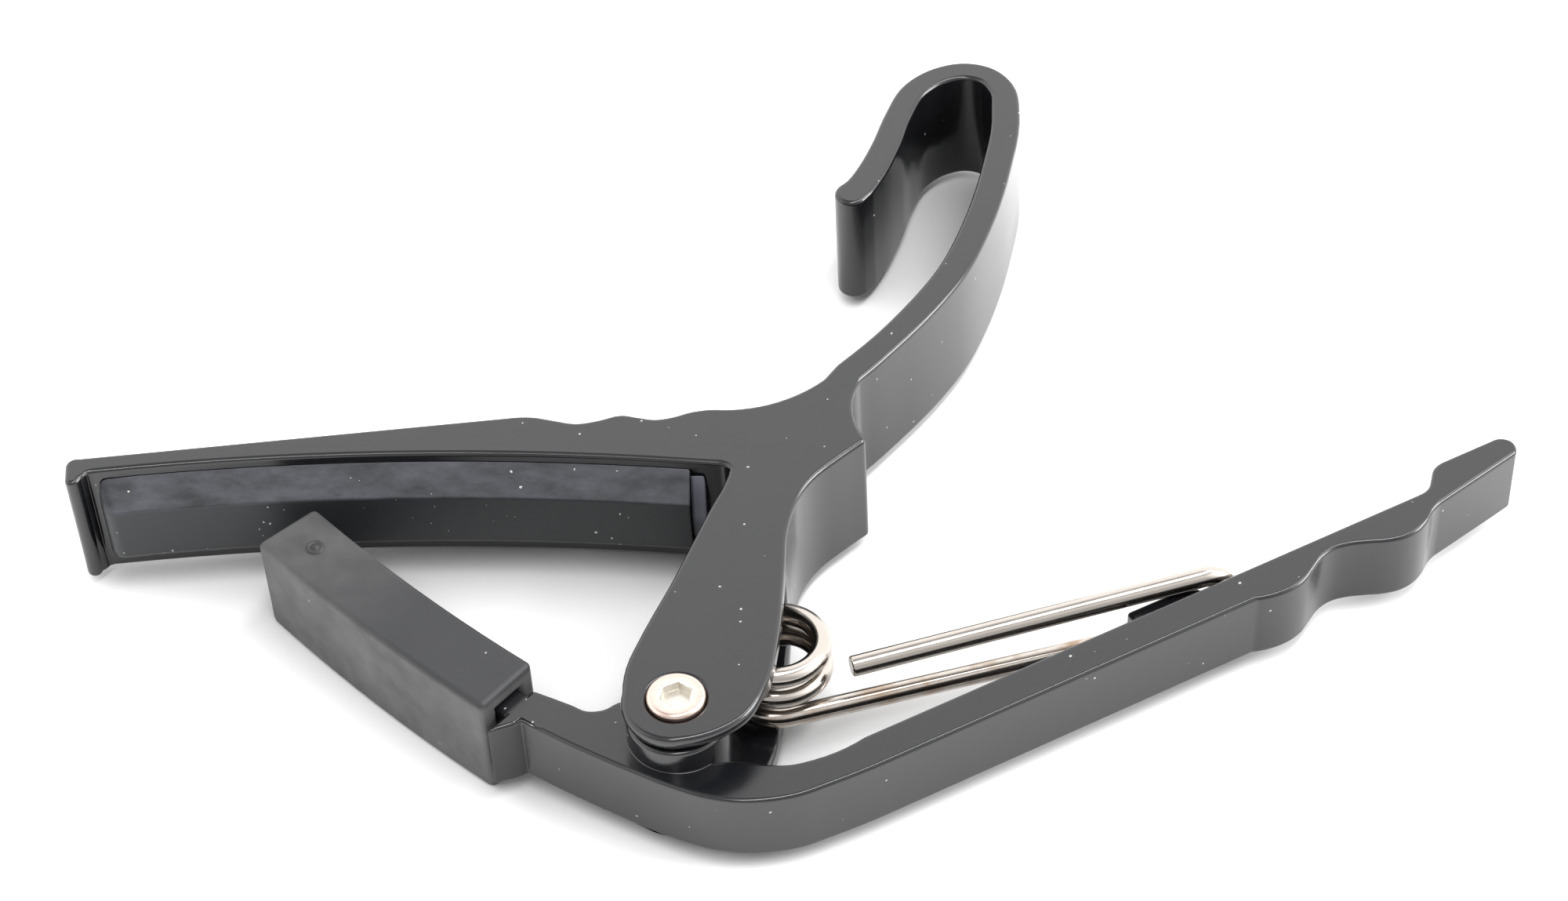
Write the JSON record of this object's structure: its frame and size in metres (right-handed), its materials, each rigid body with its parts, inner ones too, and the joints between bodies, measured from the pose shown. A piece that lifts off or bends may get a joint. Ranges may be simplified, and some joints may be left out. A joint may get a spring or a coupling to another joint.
{
  "type": "guitar capo",
  "caption": "Spring-loaded trigger capo: a padded fretting bar and a rubber-sleeved jaw that clamp across a guitar neck, with squeeze handles and a coil spring.",
  "frame": {"origin": "on the pivot screw's axis, in the plane of the frame's lower face", "axes": "+Z along the pivot screw towards its head, +X along the fretting bar towards the handles, +Y towards the curved tail"},
  "size_m": [0.1365, 0.0955, 0.0147],
  "materials": {
    "frame_paint": "semi-gloss black",
    "lever_paint": "semi-gloss black",
    "pad_rubber": "satin",
    "sleeve_rubber": "matte",
    "screw_steel": "nickel plated, with a copper tint at the rim",
    "nut_steel": "nickel plated",
    "spring_wire": "nickel plated wire"
  },
  "bodies": {
    "frame": {"upper_frame": "frame_paint", "fret_pad": "pad_rubber", "pivot_screw": "screw_steel", "pivot_nut": "nut_steel", "spring_coil": "spring_wire"},
    "lever": {"lever": "lever_paint", "neck_sleeve": "sleeve_rubber"},
    "spring_arm": {"spring_arm": "spring_wire"}
  },
  "joints": [
    {"name": "lever_pivot", "type": "hinge", "parent": "frame", "child": "lever", "pos_m": [0, 0, 0.0065], "axis": [0, 0, 1], "range_deg": [0, 30], "stiffness_Nm_per_rad": 0.8, "springref_deg": -34.38},
    {"name": "spring_hinge", "type": "hinge", "parent": "frame", "child": "spring_arm", "pos_m": [0.0079, 0.01015, 0.0065], "axis": [0, 0, 1], "range_deg": [0, 40]}
  ],
  "couplings": [
    {"joint": "spring_hinge", "follows": "lever_pivot", "ratio": 1.3}
  ]
}
